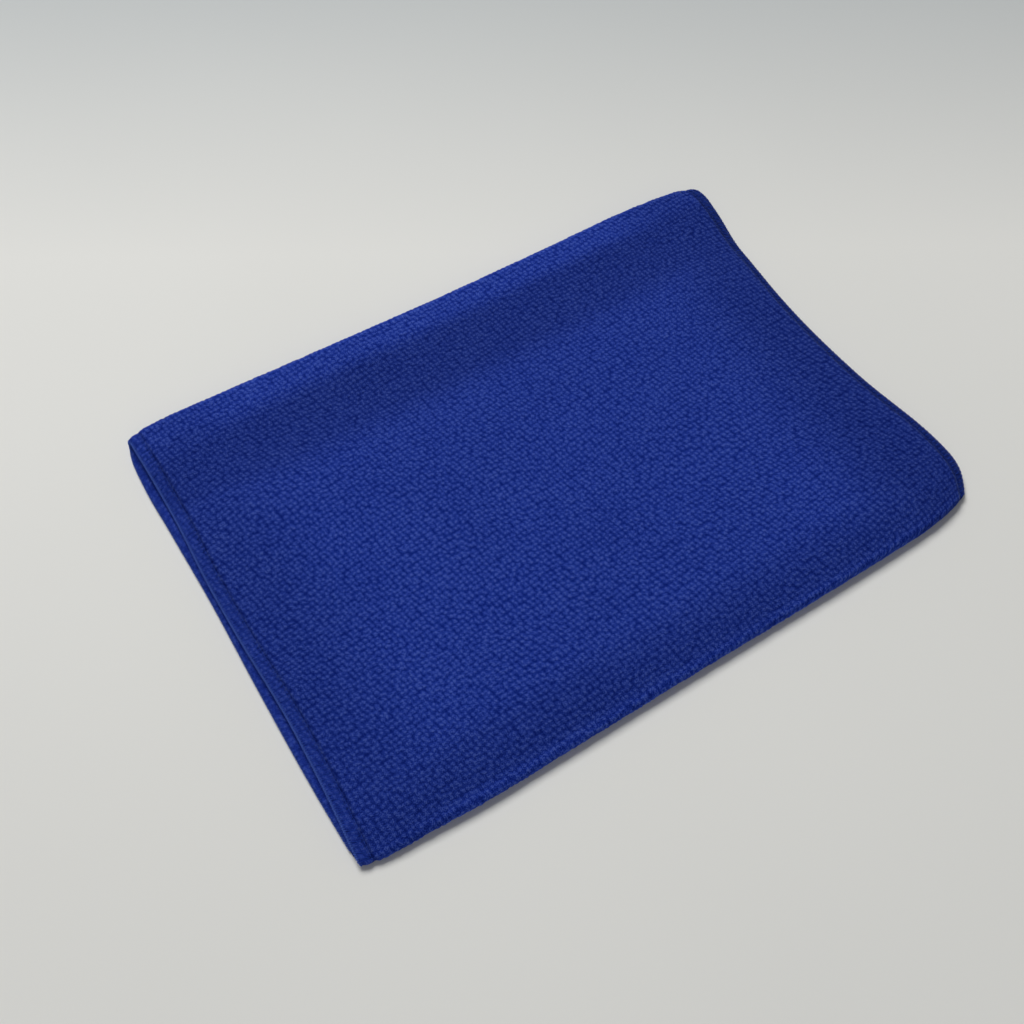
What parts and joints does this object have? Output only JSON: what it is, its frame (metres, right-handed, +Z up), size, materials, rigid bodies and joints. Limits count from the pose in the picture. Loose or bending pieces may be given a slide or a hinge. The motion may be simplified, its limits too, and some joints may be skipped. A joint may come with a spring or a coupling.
{
  "type": "folded microfibre polishing cloth",
  "caption": "Microfibre polishing cloth with a pearl-knit pile and an overlocked hem, folded in three like a letter; the top panel hinges open at the back fold.",
  "frame": {"origin": "middle of the folded cloth's under side, on the surface it lies on", "axes": "+X along the folds, +Y from the front fold to the back fold, +Z up"},
  "size_m": [0.3, 0.2204, 0.009],
  "materials": {
    "cloth": "matte",
    "thread": "satin"
  },
  "bodies": {
    "bottom": {"bottom_flap": "cloth", "bottom_flap_left_face_looper_thread": "thread", "bottom_flap_left_back_looper_thread": "thread", "bottom_flap_left_needle_thread": "thread", "bottom_flap_right_face_looper_thread": "thread", "bottom_flap_right_back_looper_thread": "thread", "bottom_flap_right_needle_thread": "thread", "bottom_flap_end_face_looper_thread": "thread", "bottom_flap_end_back_looper_thread": "thread", "bottom_flap_end_needle_thread": "thread", "back_fold": "cloth", "back_fold_left_face_looper_thread": "thread", "back_fold_left_back_looper_thread": "thread", "back_fold_left_needle_thread": "thread", "back_fold_right_face_looper_thread": "thread", "back_fold_right_back_looper_thread": "thread", "back_fold_right_needle_thread": "thread"},
    "top": {"top_panel": "cloth", "top_panel_left_face_looper_thread": "thread", "top_panel_left_back_looper_thread": "thread", "top_panel_left_needle_thread": "thread", "top_panel_right_face_looper_thread": "thread", "top_panel_right_back_looper_thread": "thread", "top_panel_right_needle_thread": "thread", "front_fold": "cloth", "front_fold_left_face_looper_thread": "thread", "front_fold_left_back_looper_thread": "thread", "front_fold_left_needle_thread": "thread", "front_fold_right_face_looper_thread": "thread", "front_fold_right_back_looper_thread": "thread", "front_fold_right_needle_thread": "thread", "inner_flap": "cloth", "inner_flap_left_face_looper_thread": "thread", "inner_flap_left_back_looper_thread": "thread", "inner_flap_left_needle_thread": "thread", "inner_flap_right_face_looper_thread": "thread", "inner_flap_right_back_looper_thread": "thread", "inner_flap_right_needle_thread": "thread", "inner_flap_end_face_looper_thread": "thread", "inner_flap_end_back_looper_thread": "thread", "inner_flap_end_needle_thread": "thread"}
  },
  "joints": [
    {"name": "back_fold_hinge", "type": "hinge", "parent": "bottom", "child": "top", "pos_m": [0, 0.1057, 0.0045], "axis": [-1, 0, 0], "range_deg": [0, 179.5], "deforming": ["back_fold", "back_fold_left_face_looper_thread", "back_fold_left_back_looper_thread", "back_fold_left_needle_thread", "back_fold_right_face_looper_thread", "back_fold_right_back_looper_thread", "back_fold_right_needle_thread"]}
  ]
}
